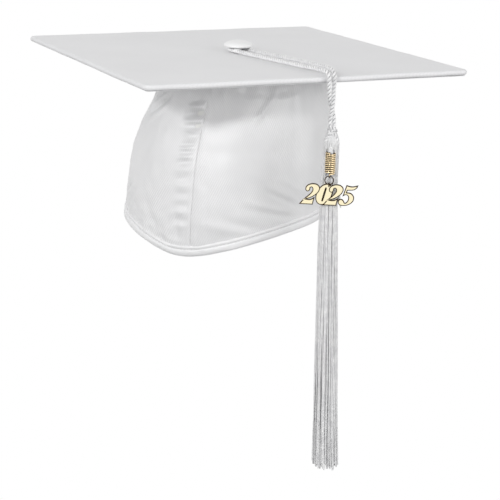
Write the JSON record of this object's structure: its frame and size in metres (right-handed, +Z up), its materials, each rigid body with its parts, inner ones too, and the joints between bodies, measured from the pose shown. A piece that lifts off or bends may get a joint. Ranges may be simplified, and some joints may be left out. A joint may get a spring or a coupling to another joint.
{
  "type": "graduation cap",
  "caption": "Fabric-covered square board on an elasticated skullcap, with a button, a corded tassel hanging over one edge, and a wire coil, ring and numeral charm that swing.",
  "frame": {"origin": "middle of the head opening, level with the rim at the ears, under the middle of the board", "axes": "+Z up through the button; the wearer faces -Y, along a diagonal of the board; +X is the wearer's left"},
  "size_m": [0.3354, 0.3354, 0.2852],
  "materials": {
    "satin": "white polyester satin, soft sheen",
    "hem_satin": "white satin cut on the bias and rolled",
    "board_card": "stiff grey-white board",
    "button_metal": "pressed steel, dull",
    "lining_cotton": "plain white cotton",
    "elastic_webbing": "flat knitted elastic",
    "twisted_cord": "two-ply twisted rayon cord",
    "tassel_yarn": "combed rayon yarn, silky",
    "binding_thread": "wound white thread",
    "gilt_wire": "bright gilt wire",
    "gilt_casting": "pale gilt faces, dark edges"
  },
  "bodies": {
    "root": {"board_top_cover": "satin", "board_under_cover": "satin", "board_edge_roll": "satin", "button_cover": "satin", "crown_left_panel": "satin", "crown_right_panel": "satin", "rim_hem": "hem_satin", "rear_casing": "hem_satin", "board_core": "board_card", "button_shell": "button_metal", "button_post": "button_metal", "button_washer": "button_metal", "crown_patch": "lining_cotton", "sweatband": "lining_cotton", "front_seam_tape": "lining_cotton", "back_seam_tape": "lining_cotton", "rear_elastic": "elastic_webbing"},
    "cord_loop": {"tassel_loop": "twisted_cord", "top_cord_left": "twisted_cord", "top_cord_right": "twisted_cord"},
    "cord_drop": {"drop_cord_left": "twisted_cord", "drop_cord_right": "twisted_cord"},
    "tassel": {"tassel_knot": "twisted_cord", "tassel_head": "tassel_yarn", "neck_binding": "binding_thread", "tassel_skirt": "tassel_yarn", "yarn_lock": "tassel_yarn", "charm_coil": "gilt_wire"},
    "ring": {"jump_ring": "gilt_wire"},
    "charm": {"year_charm": "gilt_casting"}
  },
  "joints": [
    {"name": "tassel_turn", "type": "hinge", "parent": "root", "child": "cord_loop", "pos_m": [0, 0, 0.11775], "axis": [0, 0, 1], "range_deg": [-14, 4.5]},
    {"name": "tassel_swing", "type": "hinge", "parent": "cord_loop", "child": "cord_drop", "pos_m": [0.09654, -0.08159, 0.1095], "axis": [-0.6455, -0.7638, 0], "range_deg": [-12, 60]},
    {"name": "tassel_sway", "type": "hinge", "parent": "cord_drop", "child": "tassel", "pos_m": [0.09654, -0.08159, 0.0785], "axis": [0.7638, -0.6455, 0], "range_deg": [-30, 30]},
    {"name": "ring_swing", "type": "hinge", "parent": "tassel", "child": "ring", "pos_m": [0.09876, -0.09049, 0.05092], "axis": [0.2419, -0.9703, 0], "range_deg": [-25, 25]},
    {"name": "charm_tilt", "type": "hinge", "parent": "ring", "child": "charm", "pos_m": [0.09876, -0.09049, 0.04621], "axis": [-0.9703, -0.2419, 0], "range_deg": [-6, 60]}
  ]
}
